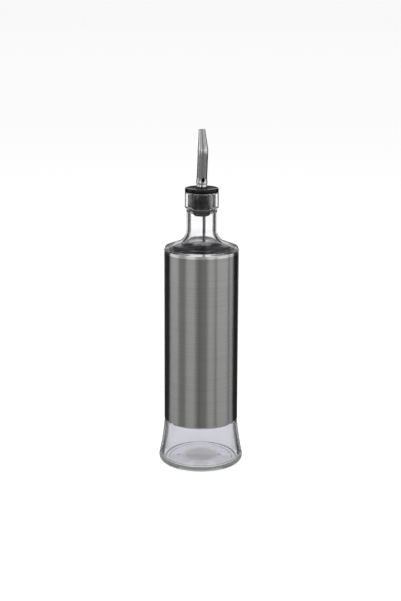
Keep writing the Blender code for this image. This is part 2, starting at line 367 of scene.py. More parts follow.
def add_ring_card(name, tones, seen_in, radius, start=0.0, growth=1.0, rise=0.0):
    """A ring of card: a circle at a start height, extruded outwards or upwards."""
    card = start_ring(name, card_sides, radius, (0.0, 0.0, start))
    extrude((0.0, 0.0, rise))
    bpy.ops.transform.resize(value=(growth, growth, 1.0), center_override=(0.0, 0.0, 0.0))
    bpy.ops.object.mode_set(mode="OBJECT")
    tone_card(card, tones, seen_in)


print("card helpers ready")

# %% [markdown]
# What the steel mirrors
#
# One card lies on the floor and three stand round the bottle. Dark stretches near the camera,
# between the softboxes and at the far sides give the steel its dark stripes and edges. The light
# card hangs higher and brightens the nose of the spout. Each row of tones holds the first side,
# the last side and the tone.

# %% Cards in the mirrors
floor_tones = [(-156, -111, 0.04), (-111, -69, 0.34), (-69, -46, 0.30), (-46, -18, 0.32), (-18, -9, 0.31),
               (-9, -2, 0.17), (-2, 18, 0.27), (18, 42, 0.30), (42, 47, 0.12), (47, 89, 0.36),
               (89, 94, 0.10), (94, 110, 0.32), (110, 156, 0.03)]
wall_tones = [(-150, -111, 0.04), (-73, -48, 0.36), (-18, -9, 0.43), (-9, -2, 0.23),
              (-2, 18.5, 0.36), (42.5, 47, 0.12), (89.5, 94.5, 0.10), (112.5, 150, 0.03)]
back_tones = [(-181, -150, 0.06), (150, 181, 0.06)]
nose_tones = [(-110, -19, 0.75), (19, 110, 0.80)]

add_ring_card("mirror_floor_card", floor_tones, "mirrors", radius=0.037, growth=216.0)
add_ring_card("mirror_wall_card", wall_tones, "mirrors", radius=2.2, rise=2.5)
add_ring_card("mirror_back_card", back_tones, "mirrors", radius=2.2, rise=0.72)
add_ring_card("mirror_nose_card", nose_tones, "mirrors", radius=1.15, start=0.5, rise=0.35)

# %% [markdown]
# What shows through the glass
#
# These cards draw the grey lines and patches in the neck, the lip, the shoulder and the foot. The
# contact shadow card is a painted shadow: a grey sheet under the near edge of the foot, seen through
# the glass as the shade there. Four flat cards lie on the floor beside the foot, turned outwards,
# and run away from the camera.

# %% Cards behind the glass
neck_tones = [(-158, -85, 0.06), (104, 158, 0.06)]
lip_tones = [(-158, -85, 0.11), (104, 158, 0.11)]
shoulder_tones = [(-174, -158, 0.36), (158, 174, 0.36)]
front_tones = [(-80, 80, 0.02)]
# Painted shadow: a grey sheet under the near edge of the foot, seen through the glass.
contact_shadow_tones = [(-90, 90, 0.50)]
contact_shadow_height = -floor_drop / 2
side_card_height = -floor_drop / 3
side_card_turn = math.radians(19.0)
outer_tone = 0.32

add_ring_card("glass_wall_card", neck_tones, "glass", radius=0.75, rise=0.9)
add_ring_card("glass_floor_card", lip_tones, "glass", radius=0.13, growth=5.8)
add_ring_card("glass_upper_card", shoulder_tones, "glass", radius=0.76, start=0.30, rise=0.6)
add_ring_card("glass_front_card", front_tones, "glass", radius=0.95, growth=4.5)
add_ring_card("contact_shadow_card", contact_shadow_tones, "glass", radius=0.031, start=contact_shadow_height, growth=1.26)


def add_side_card(name, hand, tone, near_edge, start, width, length):
    """A card beside the foot. Its inner edge starts near_edge from the axis. Hand is -1 or 1."""
    outwards = camera_right * hand
    along = outwards * math.sin(side_card_turn) - towards_camera * math.cos(side_card_turn)
    across = outwards * math.cos(side_card_turn) + towards_camera * math.sin(side_card_turn)
    middle = outwards * near_edge + along * (start + length / 2) + across * width / 2
    bpy.ops.object.select_all(action="DESELECT")
    bpy.ops.mesh.primitive_plane_add(size=1.0)
    card = bpy.context.active_object
    card.name = name
    card.scale = (width, length, 1.0)
    card.rotation_euler = (0.0, 0.0, camera_side - hand * side_card_turn)
    card.location = middle + Vector((0.0, 0.0, side_card_height))
    bpy.ops.object.transform_apply(location=True, rotation=True, scale=True)
    tone_card(card, [(-181, 181, tone)], "glass")


for side_name, hand, foot_tone in (("left", -1, 0.10), ("right", 1, 0.08)):
    add_side_card(side_name + "_foot_card", hand, foot_tone,
                  near_edge=0.0355, start=0.004, width=0.020, length=0.090)
    add_side_card(side_name + "_outer_card", hand, outer_tone,
                  near_edge=0.0570, start=0.020, width=0.045, length=0.080)

# %% [markdown]
# Turned shapes
#
# The glass, the sleeve, the cork and the collar are all round. By hand one would draw a circle,
# then extrude and scale it again and again up the piece. This helper does just that from a list
# of rings, each a radius and a height, so each piece below is only its outline.

# %% Ring by ring
quarter = math.pi / 2
straight_run = 0.0025
straight_hold = 0.0003


def select_ends():
    """In edit mode, select the open edges only."""
    bpy.ops.mesh.select_all(action="DESELECT")
    bpy.ops.mesh.select_mode(type="EDGE")
    bpy.ops.mesh.select_non_manifold(extend=False, use_wire=False, use_boundary=True,
                                     use_multi_face=False, use_non_contiguous=False, use_verts=False)


def join_ends():
    """Bridge the last ring to the first, which closes the skin."""
    select_ends()
    bpy.ops.mesh.bridge_edge_loops()


def hold_straights(rings):
    """Add a ring near both ends of each long straight run, so that smooth shading keeps it straight."""
    held = rings[:1]
    for last, ring in zip(rings, rings[1:]):
        run = math.dist(last, ring)
        if run > straight_run:
            for share in (straight_hold / run, 1 - straight_hold / run):
                held.append((last[0] + (ring[0] - last[0]) * share, last[1] + (ring[1] - last[1]) * share))
        held.append(ring)
    return held


def grow_rings(name, rings, sides):
    """Grow a round skin from (radius, height) rings, by extruding and scaling a circle."""
    rings = hold_straights(rings)
    radius, height = rings[0]
    piece = start_ring(name, sides, radius, (0.0, 0.0, height))
    for next_radius, next_height in rings[1:]:
        growth = next_radius / radius
        extrude((0.0, 0.0, next_height - height))
        bpy.ops.transform.resize(value=(growth, growth, 1.0), center_override=(0.0, 0.0, next_height))
        radius, height = next_radius, next_height
    return piece


def finish_skin(piece, material, body, node, crease=32.0):
    """Turn the faces outwards, shade the piece, hide the frame's node it stands for, and hang it on its
    body.
    """
    bpy.ops.object.mode_set(mode="EDIT")
    recalculate_normals()
    bpy.ops.object.shade_smooth_by_angle(angle=math.radians(crease))
    piece.data.materials.append(material)
    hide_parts(node)
    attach(piece, body)
    print(piece.name, "faces:", len(piece.data.polygons))


def arc(centre, radii, start, end, steps):
    """Rings along an elliptic arc, with its angles measured from straight out."""
    rings = []
    for step in range(steps + 1):
        angle = start + (end - start) * step / steps
        rings.append((centre[0] + radii[0] * math.cos(angle), centre[1] + radii[1] * math.sin(angle)))
    return rings


def round_arc(centre, radius, start, end, steps):
    """Rings along an arc of a circle."""
    return arc(centre, (radius, radius), start, end, steps)


print("ring helpers ready")

# %% [markdown]
# Helpers for textures
#
# Every pattern hangs on the place of the surface itself, in metres, so it stays on its piece when
# the piece moves. These helpers measure that place, lay noise on it, and let a height bend the
# light.

# %% Texture helpers
no_height = (1.0, 1.0, 0.0)


def object_place(tree):
    """The place on the surface."""
    return add_node(tree, "ShaderNodeTexCoord").outputs["Object"]


def vector_maths(tree, operation, first, second=None):
    """Add a Vector Math node on a socket and, where it takes one, a fixed second vector."""
    node = add_node(tree, "ShaderNodeVectorMath", operation=operation)
    tree.links.new(first, node.inputs[0])
    if second is not None:
        node.inputs[1].default_value = second
    return node.outputs["Value" if operation in ("LENGTH", "DISTANCE") else "Vector"]


def height_of(tree, place):
    """The height of a place."""
    split = add_node(tree, "ShaderNodeSeparateXYZ")
    tree.links.new(place, split.inputs["Vector"])
    return split.outputs["Z"]


def noise(tree, place, **settings):
    """Add a Noise Texture with its settings given by name."""
    node = set_sockets(add_node(tree, "ShaderNodeTexNoise"), **settings)
    tree.links.new(place, node.inputs["Vector"])
    return node.outputs["Fac"]


def grey_ramp(tree, value, low, high, start=0.0, end=1.0):
    """Add a Color Ramp between two greys."""
    return ramp(tree, value, [(start, (low, low, low)), (end, (high, high, high))])


def set_grey(tree, shader, socket, *ramp_inputs, **ramp_settings):
    """Give a shader's socket a grey ramp."""
    tree.links.new(grey_ramp(tree, *ramp_inputs, **ramp_settings), shader.inputs[socket])


def bend_normal(tree, shader, height, strength, distance):
    """Let a height bend the shader's normal."""
    bump = set_sockets(add_node(tree, "ShaderNodeBump"), Strength=strength, Distance=distance)
    tree.links.new(height, bump.inputs["Height"])
    tree.links.new(bump.outputs["Normal"], shader.inputs["Normal"])


print("texture helpers ready")

# %% [markdown]
# Wear from hands
#
# A thing that is used every day is never evenly clean: fingers leave soft smudges, and wiping
# leaves fine upright scratches. Both are built once as a node group with named sockets. Each
# material below places the group with its own sizes and decides what the two masks change.

# %% Shared wear
scratch_stretch = 0.06


def make_wear_group():
    """Smudges and fine upright scratches, as two masks from 0 to 1."""
    group = bpy.data.node_groups.new("hand_wear", "ShaderNodeTree")
    for name, in_out, kind in (("Place", "INPUT", "Vector"), ("Smudge Scale", "INPUT", "Float"),
                               ("Scratch Scale", "INPUT", "Float"), ("Smudges", "OUTPUT", "Float"),
                               ("Scratches", "OUTPUT", "Float")):
        group.interface.new_socket(name, in_out=in_out, socket_type="NodeSocket" + kind)
    entry = add_node(group, "NodeGroupInput")
    leave = add_node(group, "NodeGroupOutput")
    place = entry.outputs["Place"]
    upright = vector_maths(group, "MULTIPLY", place, (1.0, 1.0, scratch_stretch))
    for name, source, scale in (("Smudges", place, "Smudge Scale"), ("Scratches", upright, "Scratch Scale")):
        pattern = set_sockets(add_node(group, "ShaderNodeTexNoise"), Detail=4.0, Roughness=0.6)
        group.links.new(source, pattern.inputs["Vector"])
        group.links.new(entry.outputs[scale], pattern.inputs["Scale"])
        spread = set_sockets(add_node(group, "ShaderNodeMapRange"), From_Min=0.35, From_Max=0.65)
        group.links.new(pattern.outputs["Fac"], spread.inputs["Value"])
        group.links.new(spread.outputs["Result"], leave.inputs[name])
    return group


hand_wear = make_wear_group()


def add_wear(tree, place, smudge_scale, scratch_scale):
    """Place the wear group in a material, and give back its two masks."""
    wear = add_node(tree, "ShaderNodeGroup", node_tree=hand_wear)
    set_sockets(wear, Smudge_Scale=smudge_scale, Scratch_Scale=scratch_scale)
    tree.links.new(place, wear.inputs["Place"])
    return wear.outputs


print("wear sockets:", [socket.name for socket in hand_wear.interface.items_tree])

# %% [markdown]
# Clear glass
#
# Glass is all about what shows through it. The shader keeps full transmission and the index of
# soda-lime glass. A faint absorption makes long paths through the thick foot and the rims darker
# than the thin walls, and slow ripples keep the mirrored lamps from looking machined. The
# underside of the foot is stippled, as on any moulded bottle, and rough there. Its grey oval is a
# painted shade: a darker, mottled tint for the shade under the bottle. Two small dark spots lie on
# the underside. A pale lavender tint, a painted shade, darkens the foot and body and fades out
# below the neck. Its stops are shares of the whole height.
# Light that runs on inside the wall is mirrored dozens of times before it comes out. A renderer
# stops counting after a few mirrorings and shows black there, so a ray that has been mirrored
# that often ends in a painted glow, the pale grey that it would find at last.

# %% Glass material
glass_index = 1.52
stipple_reach = 0.0195
stipple_fade = 0.0090
stipple_top = 0.0022
stipple_roughness = 0.50
stipple_evenness = 0.4
foot_shade_tint = (0.745, 0.74, 0.78)
stipple_shade_tint = (0.60, 0.60, 0.55)
mottle_low = 0.25
mottle_high = 1.45
underside_dark_spots = (-0.0195, 0.0165)
dark_spot_radius = 0.0019
dark_spot_tint = (0.30, 0.30, 0.27)
shoulder_shade_tint = (0.82, 0.815, 0.85)
neck_tint = (1.0, 1.0, 1.0)
shade_tint_stops = [(0.0, foot_shade_tint), (0.14, foot_shade_tint), (0.55, shoulder_shade_tint), (0.665, shoulder_shade_tint),
              (0.71, neck_tint)]
guided_bounces = 3.5
painted_glow_grey = (0.145, 0.147, 0.134)


def make_glass():
    """Clear bottle glass with a stippled underside, painted shade in its tint and a painted glow."""
    material, tree, shader = new_material("clear_glass", IOR=glass_index, Transmission_Weight=1.0,
                                          Emission_Strength=1.0)
    place = object_place(tree)
    height = height_of(tree, place)
    # Painted shade: the tint darkens the foot and body and fades out below the neck.
    tint = ramp(tree, maths(tree, "DIVIDE", height, cad_high.z), shade_tint_stops)
    flat = vector_maths(tree, "MULTIPLY", place, no_height)
    inside = maths(tree, "SUBTRACT", stipple_reach, vector_maths(tree, "LENGTH", flat))
    inside = maths(tree, "MAXIMUM", maths(tree, "DIVIDE", inside, stipple_fade), 0.0)
    underside = maths(tree, "LESS_THAN", height, stipple_top)
    stippled = maths(tree, "MULTIPLY", maths(tree, "MINIMUM", inside, 1.0), underside)
    # Painted shade: a darker, mottled tint over the stipple, for the shade under the bottle.
    dots = noise(tree, place, Scale=420.0, Detail=3.0, Roughness=0.65)
    mottle = grey_ramp(tree, dots, mottle_low, mottle_high)
    tint = mix_colours(tree, maths(tree, "MULTIPLY", stippled, mottle), tint, stipple_shade_tint)
    # Two small dark spots on the underside.
    for mark_side in underside_dark_spots:
        offset = vector_maths(tree, "DISTANCE", flat, camera_right * mark_side)
        marked = maths(tree, "LESS_THAN", offset, dark_spot_radius)
        tint = mix_colours(tree, maths(tree, "MULTIPLY", marked, underside), tint, dark_spot_tint)
    tree.links.new(tint, shader.inputs["Base Color"])
    frost = maths(tree, "MULTIPLY", maths(tree, "ADD", dots, stipple_evenness), stipple_roughness)
    tree.links.new(maths(tree, "MULTIPLY", frost, stippled), shader.inputs["Roughness"])
    # Painted glow: rays mirrored more than three and a half times glow pale grey.
    mirrored = add_node(tree, "ShaderNodeLightPath").outputs["Glossy Depth"]
    glow_mask = maths(tree, "GREATER_THAN", mirrored, guided_bounces)
    tree.links.new(mix_colours(tree, glow_mask, (0.0, 0.0, 0.0), painted_glow_grey), shader.inputs["Emission Color"])
    waves = noise(tree, place, Scale=42.0, Detail=1.0, Roughness=0.4)
    bend_normal(tree, shader, waves, strength=0.06, distance=0.002)
    haze = set_sockets(add_node(tree, "ShaderNodeVolumeAbsorption"), Density=18.0,
                       Color=(0.80, 0.84, 0.82, 1.0))
    tree.links.new(haze.outputs["Volume"], tree.nodes["Material Output"].inputs["Volume"])
    return material


clear_glass = make_glass()
print("glass index:", glass_index)

# %% [markdown]
# The glass bottle
#
# The outline starts under the foot, goes round the heel, up the flare to the ledge, up the
# recessed body behind the sleeve, over the shoulder, up the neck and over the lip, and then
# comes down the inside to the floor. Its two poles are merged, so the glass is one closed skin.

# %% Bottle outline
foot_height = 0.0381
heel_height = 0.0045
heel_width = 0.0031
bearing_width = 0.0060
punt_height = 0.0012
floor_thickness = 0.0030
inner_heel_radius = 0.0035
foot_wall = 0.0036
foot_flare_share = 1.5
shoulder_radius = 0.0313
shoulder_slope = math.radians(21.3)
shoulder_edge_radius = 0.0008
shoulder_edge_rise = 0.0011
inner_shoulder_radius = 0.0070
panel_recess = 0.0007
corner_height = 0.0035
body_wall = 0.0030
bore_radius = 0.00925
neck_wall = 0.0039
neck_widening = 0.00105
neck_widening_rise = 0.0030
lip_height = 0.0143
flare_radius = 0.0111
lip_step = 0.00135
lip_chamfer = 0.0013
lip_edge_radius = 0.0008
sleeve_reveal = 0.0003
ledge_overlap = 0.0004
sleeve_wall = 0.0005
pole_radius = 0.00002
glass_sides = 160
punt_steps = 14
heel_steps = 12
foot_steps = 24
shoulder_edge_steps = 8
flare_steps = 16
lip_edge_steps = 6
inner_shoulder_steps = 10
inner_foot_steps = 12
floor_steps = 8

sleeve_low, sleeve_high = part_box("steel_sleeve")
glass_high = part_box("glass_bottle")[1]
foot_radius = glass_high.x
lip_top = glass_high.z
sleeve_radius = sleeve_high.x
foot_top_radius = sleeve_radius - sleeve_wall + ledge_overlap
heel_top_radius = foot_radius - heel_width
panel_radius = shoulder_radius - panel_recess
neck_radius = bore_radius + neck_wall
lip_radius = neck_radius + lip_step
shoulder_bottom = sleeve_high.z + sleeve_reveal + shoulder_edge_rise
flare_sweep = quarter - shoulder_slope
edge_centre_radius = shoulder_radius - shoulder_edge_radius
edge_top_radius = edge_centre_radius + shoulder_edge_radius * math.sin(shoulder_slope)
edge_top = shoulder_bottom + shoulder_edge_radius * math.cos(shoulder_slope)
flare_end_radius = neck_radius + flare_radius * (1 - math.cos(flare_sweep))
cone_rise = (edge_top_radius - flare_end_radius) * math.tan(shoulder_slope)
neck_foot = edge_top + cone_rise + flare_radius * math.sin(flare_sweep)
lip_bottom = lip_top - lip_height


def foot_outer_radius(height):
    """Outer radius of the foot, which flares from its top to its heel."""
    share = (foot_height - height) / (foot_height - heel_height)
    return foot_top_radius + (foot_radius - foot_top_radius) * share ** foot_flare_share


def bottle_outside():
    """Rings of the outer side, from under the foot up to the rim of the mouth."""
    punt = (heel_top_radius - bearing_width, punt_height)
    rings = arc((pole_radius, 0.0), punt, quarter, 0.0, punt_steps)
    rings += arc((heel_top_radius, heel_height), (heel_width, heel_height), -quarter, 0.0, heel_steps)
    for step in range(1, foot_steps + 1):
        height = heel_height + (foot_height - heel_height) * step / foot_steps
        rings.append((foot_outer_radius(height), height))
    rings += [(panel_radius, foot_height), (panel_radius, shoulder_bottom - corner_height),
              (shoulder_radius, shoulder_bottom - corner_height + panel_recess)]
    rings += round_arc((edge_centre_radius, shoulder_bottom), shoulder_edge_radius,
                       0.0, flare_sweep, shoulder_edge_steps)
    rings += round_arc((neck_radius + flare_radius, neck_foot), flare_radius,
                       math.pi + flare_sweep, math.pi, flare_steps)
    rings += [(neck_radius, lip_bottom), (lip_radius, lip_bottom + lip_chamfer)]
    lip_centre = lip_top - lip_edge_radius
    rings += round_arc((lip_radius - lip_edge_radius, lip_centre), lip_edge_radius,
                       0.0, quarter, lip_edge_steps)
    rings += round_arc((bore_radius + lip_edge_radius, lip_centre), lip_edge_radius,
                       quarter, math.pi, lip_edge_steps)
    return rings


def bottle_inside():
    """Rings of the inner side, from the neck's bore down to the middle of the floor."""
    inner_radius = panel_radius - body_wall
    slope_gap = body_wall / math.cos(shoulder_slope)
    turn_radius = inner_radius - inner_shoulder_radius
    touch_radius = turn_radius + inner_shoulder_radius * math.sin(shoulder_slope)
    cone_height = edge_top + (edge_top_radius - touch_radius) * math.tan(shoulder_slope) - slope_gap
    turn_height = cone_height - inner_shoulder_radius * math.cos(shoulder_slope)
    rings = [(bore_radius, lip_bottom), (bore_radius + neck_widening, lip_bottom - neck_widening_rise)]
    wall = neck_wall - neck_widening
    for step in range(flare_steps + 1):
        share = step / flare_steps
        angle = math.pi + flare_sweep * share
        reach = flare_radius + wall + (body_wall - wall) * share
        radius = neck_radius + flare_radius + reach * math.cos(angle)
        rings.append((radius, neck_foot + reach * math.sin(angle)))
    rings += round_arc((turn_radius, turn_height), inner_shoulder_radius,
                       flare_sweep, 0.0, inner_shoulder_steps)
    rings.append((inner_radius, foot_height + foot_wall))
    start = floor_thickness + inner_heel_radius
    for step in range(1, inner_foot_steps + 1):
        height = foot_height + (start - foot_height) * step / inner_foot_steps
        wall = body_wall + (foot_wall - body_wall) * step / inner_foot_steps
        rings.append((max(foot_outer_radius(height) - wall, inner_radius), height))
    corner_radius = foot_outer_radius(start) - foot_wall - inner_heel_radius
    rings += round_arc((corner_radius, start), inner_heel_radius, 0.0, -quarter, heel_steps)[1:]
    for step in range(1, floor_steps + 1):
        share = step / floor_steps
        radius = corner_radius * (1 - share) + pole_radius * share
        rings.append((radius, floor_thickness + punt_height * (1 - (radius / corner_radius) ** 2)))
    return rings


def make_bottle():
    """Make the glass, with the open ring at each pole collapsed to a point."""
    piece = grow_rings("clear_bottle", bottle_outside() + bottle_inside(), glass_sides)
    select_ends()
    bpy.ops.mesh.merge(type="COLLAPSE")
    finish_skin(piece, clear_glass, "bottle", "glass_bottle")


make_bottle()

# %% [markdown]
# Brushed steel
#
# The sleeve is brushed round and round, which leaves thousands of fine grooves. Across the
# grooves a mirrored lamp smears a long way, along them only a little, so the lamps turn into
# upright bands. The Tangent node gives the direction round the bottle, and the anisotropy is
# turned a quarter so that the smear runs up and down. The upper rim's last 2.5 mm get a painted
# highlight, a much lighter base colour, and the inner face a painted shade, a much darker one. The
# spout and its collar are polished, and the breather tube is plain drawn steel.

# %% Steel materials
# Painted highlight: the upper rim's last 2.5 mm get a much lighter base colour.
rim_highlight_height = 0.0025
rim_highlight_tone = (0.80, 0.80, 0.79)
# Painted shade: the sleeve's inner face gets a much darker base colour.
inner_shade_tone = (0.13, 0.13, 0.13)
inner_share = 0.9
groove_stops = [(0.25, (0.35, 0.35, 0.345)), (0.75, (0.46, 0.46, 0.455))]
groove_squeeze = (14.0, 14.0, 2600.0)
scratch_depth = 0.00005


def make_brushed_steel():
    """Steel brushed round the bottle's axis, with a painted highlight on its upper rim and a painted shade
    inside.
    """
    material, tree, shader = new_material("brushed_steel", Metallic=1.0, Roughness=0.34,
                                          Anisotropic=1.0, Anisotropic_Rotation=0.25)
    tangent = add_node(tree, "ShaderNodeTangent", direction_type="RADIAL", axis="Z")
    tree.links.new(tangent.outputs["Tangent"], shader.inputs["Tangent"])
    place = object_place(tree)
    squeezed = vector_maths(tree, "MULTIPLY", place, groove_squeeze)
    grooves = noise(tree, squeezed, Scale=1.0, Detail=3.0, Roughness=0.6)
    tone = ramp(tree, grooves, groove_stops)
    # Painted highlight on the upper rim, in the base colour.
    painted_rim_highlight = maths(tree, "GREATER_THAN", height_of(tree, place), sleeve_high.z - rim_highlight_height)
    tone = mix_colours(tree, painted_rim_highlight, tone, rim_highlight_tone)
    # Painted shade on the inner face, in the base colour.
    reach = vector_maths(tree, "LENGTH", vector_maths(tree, "MULTIPLY", place, no_height))
    shaded_inside = maths(tree, "LESS_THAN", reach, sleeve_radius - inner_share * sleeve_wall)
    tree.links.new(mix_colours(tree, shaded_inside, tone, inner_shade_tone), shader.inputs["Base Color"])
    bend_normal(tree, shader, grooves, strength=0.12, distance=0.0002)
    return material


def make_worn_steel(name, smudge_scale, scratch_scale, roughness, tone, scratch_bump=0.0):
    """Plain steel: smudges change its roughness and scratches its tone, each from low to high."""
    material, tree, shader = new_material(name, Metallic=1.0)
    wear = add_wear(tree, object_place(tree), smudge_scale, scratch_scale)
    set_grey(tree, shader, "Roughness", wear["Smudges"], *roughness)
    set_grey(tree, shader, "Base Color", wear["Scratches"], *tone)
    if scratch_bump > 0.0:
        bend_normal(tree, shader, wear["Scratches"], scratch_bump, scratch_depth)
    return material


brushed_steel = make_brushed_steel()
polished_steel = make_worn_steel("polished_steel", smudge_scale=260.0, scratch_scale=1500.0,
                                 roughness=(0.17, 0.23), tone=(0.44, 0.50), scratch_bump=0.05)
breather_steel = make_worn_steel("breather_steel", smudge_scale=320.0, scratch_scale=2400.0,
                                 roughness=(0.31, 0.40), tone=(0.12, 0.165))
print("steels ready")

# %% [markdown]
# The sleeve
#
# A tube of thin sheet with rounded rims. The outer side of its upper rim draws in over the last
# half millimetre, so it mirrors the lamps and not the floor, and shows as a light line, which a
# painted highlight on the rim's last 2.5 mm makes brighter. The tube is grown up its inner side,
# over the rim and down its outer side, and its last ring is bridged to its first.

# %% Sleeve
sleeve_edge_radius = 0.00018
sleeve_inner_edge = 0.00008
sleeve_rim_draw = 0.0002
sleeve_rim_height = 0.0005
sleeve_bottom_inset = 0.0003
sleeve_sides = 192
sleeve_inner_steps = 3
sleeve_rim_steps = 10
sleeve_edge_steps = 4


def make_sleeve():
    """Make the brushed sleeve."""
    inner = sleeve_radius - sleeve_wall
    top = sleeve_high.z
    low = sleeve_low.z + sleeve_bottom_inset + sleeve_edge_radius
    high = top - sleeve_inner_edge
    rings = [(inner, low), (inner, high)]
    rings += round_arc((inner + sleeve_inner_edge, high), sleeve_inner_edge,
                       math.pi, quarter, sleeve_inner_steps)
    rings += arc((sleeve_radius - sleeve_rim_draw, top - sleeve_rim_height),
                 (sleeve_rim_draw, sleeve_rim_height), quarter, 0.0, sleeve_rim_steps)
    rings += round_arc((sleeve_radius - sleeve_edge_radius, low), sleeve_edge_radius,
                       0.0, -quarter, sleeve_edge_steps)
    rings += round_arc((inner + sleeve_edge_radius, low), sleeve_edge_radius,
                       -quarter, -math.pi, sleeve_edge_steps)[:-1]
    piece = grow_rings("brushed_sleeve", rings, sleeve_sides)
    join_ends()
    finish_skin(piece, brushed_steel, "bottle", "steel_sleeve")


make_sleeve()

# %% [markdown]
# Black rubber
#
# The cork is moulded rubber with a satin skin. It is nearly black, so almost all that shows is
# its sheen, and a fine grain breaks that up a little.

# %% Rubber material
def make_rubber():
    """Black rubber of the cork."""
    material, tree, shader = new_material("black_rubber", Specular_IOR_Level=0.20)
    place = object_place(tree)
    wear = add_wear(tree, place, smudge_scale=240.0, scratch_scale=1100.0)
    set_grey(tree, shader, "Base Color", wear["Smudges"], low=0.002, high=0.0045)
    skin = noise(tree, place, Scale=900.0, Detail=3.0, Roughness=0.6)
    set_grey(tree, shader, "Roughness", skin, low=0.10, high=0.17, start=0.3, end=0.75)
    bend_normal(tree, shader, skin, strength=0.08, distance=0.0001)
    return material


black_rubber = make_rubber()
print("rubber ready")

# %% [markdown]
# The cork
#
# A wide flange rests on the bottle's lip. Below it hangs the plug with two soft ribs that seal
# the bore, and a narrower tail with one thin fin. The flange's top is slightly crowned, which
# draws the bright arc on its near side. It is grown ring by ring round its own bore.

# %% Cork
flange_edge_radius = 0.0014
crown_start = 0.0088
crown_drop = 0.0003
crown_power = 2.2
crown_steps = 8
flange_edge_steps = 10
plug_clearance = 0.00025
rib_depth = 0.0003
rib_height = 0.0014
rib_places = (0.36, 0.80)
flange_thickness = 0.0036
tail_length = 0.0066
tail_recess = 0.0019
tail_chamfer = 0.0009
fin_height = 0.0013
fin_rise = 0.0024
stem_radius = 0.0037
bore_gap = 0.0003
cork_sides = 128
cork_soft_edge = 0.00022

cork_low, cork_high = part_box("pourer_cork")
flange_radius = cork_high.x
flange_top = cork_high.z
plug_bottom = cork_low.z
flange_bottom = flange_top - flange_thickness
cork_bore_radius = stem_radius + bore_gap
rib_radius = bore_radius - plug_clearance
plug_radius = rib_radius - rib_depth
tail_radius = rib_radius - tail_recess


def cork_rings():
    """Rings of the cork, from its bore over the crown and down to the tail."""
    edge_centre = flange_radius - flange_edge_radius
    rings = [(cork_bore_radius, plug_bottom), (cork_bore_radius, flange_top), (crown_start, flange_top)]
    for step in range(1, crown_steps + 1):
        share = step / crown_steps
        radius = crown_start + (edge_centre - crown_start) * share
        rings.append((radius, flange_top - crown_drop * share ** crown_power))
    rings += round_arc((edge_centre, flange_top - crown_drop - flange_edge_radius), flange_edge_radius,
                       quarter, 0.0, flange_edge_steps)[1:]
    rings += [(flange_radius, flange_bottom), (rib_radius, flange_bottom)]
    barrel = flange_bottom - plug_bottom - tail_length
    for place in rib_places:
        middle = flange_bottom - barrel * place
        rings += [(plug_radius, middle + rib_height), (rib_radius, middle + rib_height / 2),
                  (rib_radius, middle - rib_height / 2), (plug_radius, middle - rib_height)]
    barrel_bottom = flange_bottom - barrel
    fin_bottom = plug_bottom + fin_rise
    rings += [(plug_radius, barrel_bottom), (tail_radius, barrel_bottom - (plug_radius - tail_radius) / 2),
              (tail_radius, fin_bottom + fin_height), (rib_radius, fin_bottom + fin_height / 2),
              (rib_radius, fin_bottom), (tail_radius, fin_bottom),
              (tail_radius, plug_bottom + tail_chamfer), (tail_radius - tail_chamfer, plug_bottom)]
    return rings


def soften(piece, width, segments, angle):
    """Round the piece's sharp edges with a bevel, and apply it."""
    bevel = piece.modifiers.new("soft_edges", "BEVEL")
    bevel.width = width
    bevel.segments = segments
    bevel.limit_method = "ANGLE"
    bevel.angle_limit = math.radians(angle)
    bpy.ops.object.modifier_apply(modifier=bevel.name)


def make_cork():
    """Make the black cork."""
    piece = grow_rings("black_cork", cork_rings(), cork_sides)
    join_ends()
    recalculate_normals()
    soften(piece, cork_soft_edge, segments=3, angle=25.0)
    finish_skin(piece, black_rubber, "cork", "pourer_cork")


make_cork()

# %% [markdown]
# The collar
#
# A small bright bead of steel sits between the cork and the spout's foot.

# %% Collar
collar_bead = 0.0006
collar_foot = 0.0004
collar_sides = 96
collar_steps = 20

collar_low, collar_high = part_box("spout_collar")


def make_collar():
    """Make the bright ring under the spout, with its outer side domed."""
    foot = collar_low.z + collar_foot
    rings = [(cork_bore_radius, collar_low.z), (cork_bore_radius, collar_high.z)]
    rings += arc((collar_high.x - collar_bead, foot), (collar_bead, collar_high.z - foot),
                 quarter, 0.0, collar_steps)[1:]
    rings.append((collar_high.x - collar_foot / 2, collar_low.z))
    piece = grow_rings("bright_collar", rings, collar_sides)
    join_ends()
    finish_skin(piece, polished_steel, "spout", "spout_collar", crease=50.0)


make_collar()

# %% [markdown]
# The spout
#
# The spout is one steel tube. Its stem goes down through the cork. Above the collar it widens to
# a foot, leans back, then kinks forward and tapers to its mouth. By hand one would extrude the
# ring, move it, scale it and turn it, again and again along the bend. The wall is given by a
# Solidify modifier, and a stretched cylinder cuts the vent hole.

# %% Spout
spout_wall = 0.00042
spout_foot_step = 0.0012
spout_foot_length = 0.0075
shank_step = 0.00075
shank_length = 0.0287
nose_length = 0.0171
nose_radius = 0.00272
nose_taper = 0.85
lean_back = math.radians(-8.0)
nose_tilt = math.radians(13.0)
lower_bend_start = 0.0004
lower_bend_length = 0.0050
upper_bend_length = 0.0085
seat_gap = 0.0003
stem_inset = 0.0006
stem_step_length = 0.0001
vent_radius = 0.0013
vent_height = 0.0030
vent_stretch = 1.7
vent_cut_depth = 0.007
vent_sides = 48
spout_sides = 64
bell_steps = 10
shank_steps = 28
nose_steps = 24
run_parts = 6
spout_edge_radius = 0.00010

stem_bottom = plug_bottom + stem_inset
spout_foot_bottom = collar_high.z + seat_gap
spout_radius = stem_radius + shank_step
vent_middle = spout_foot_bottom + vent_height


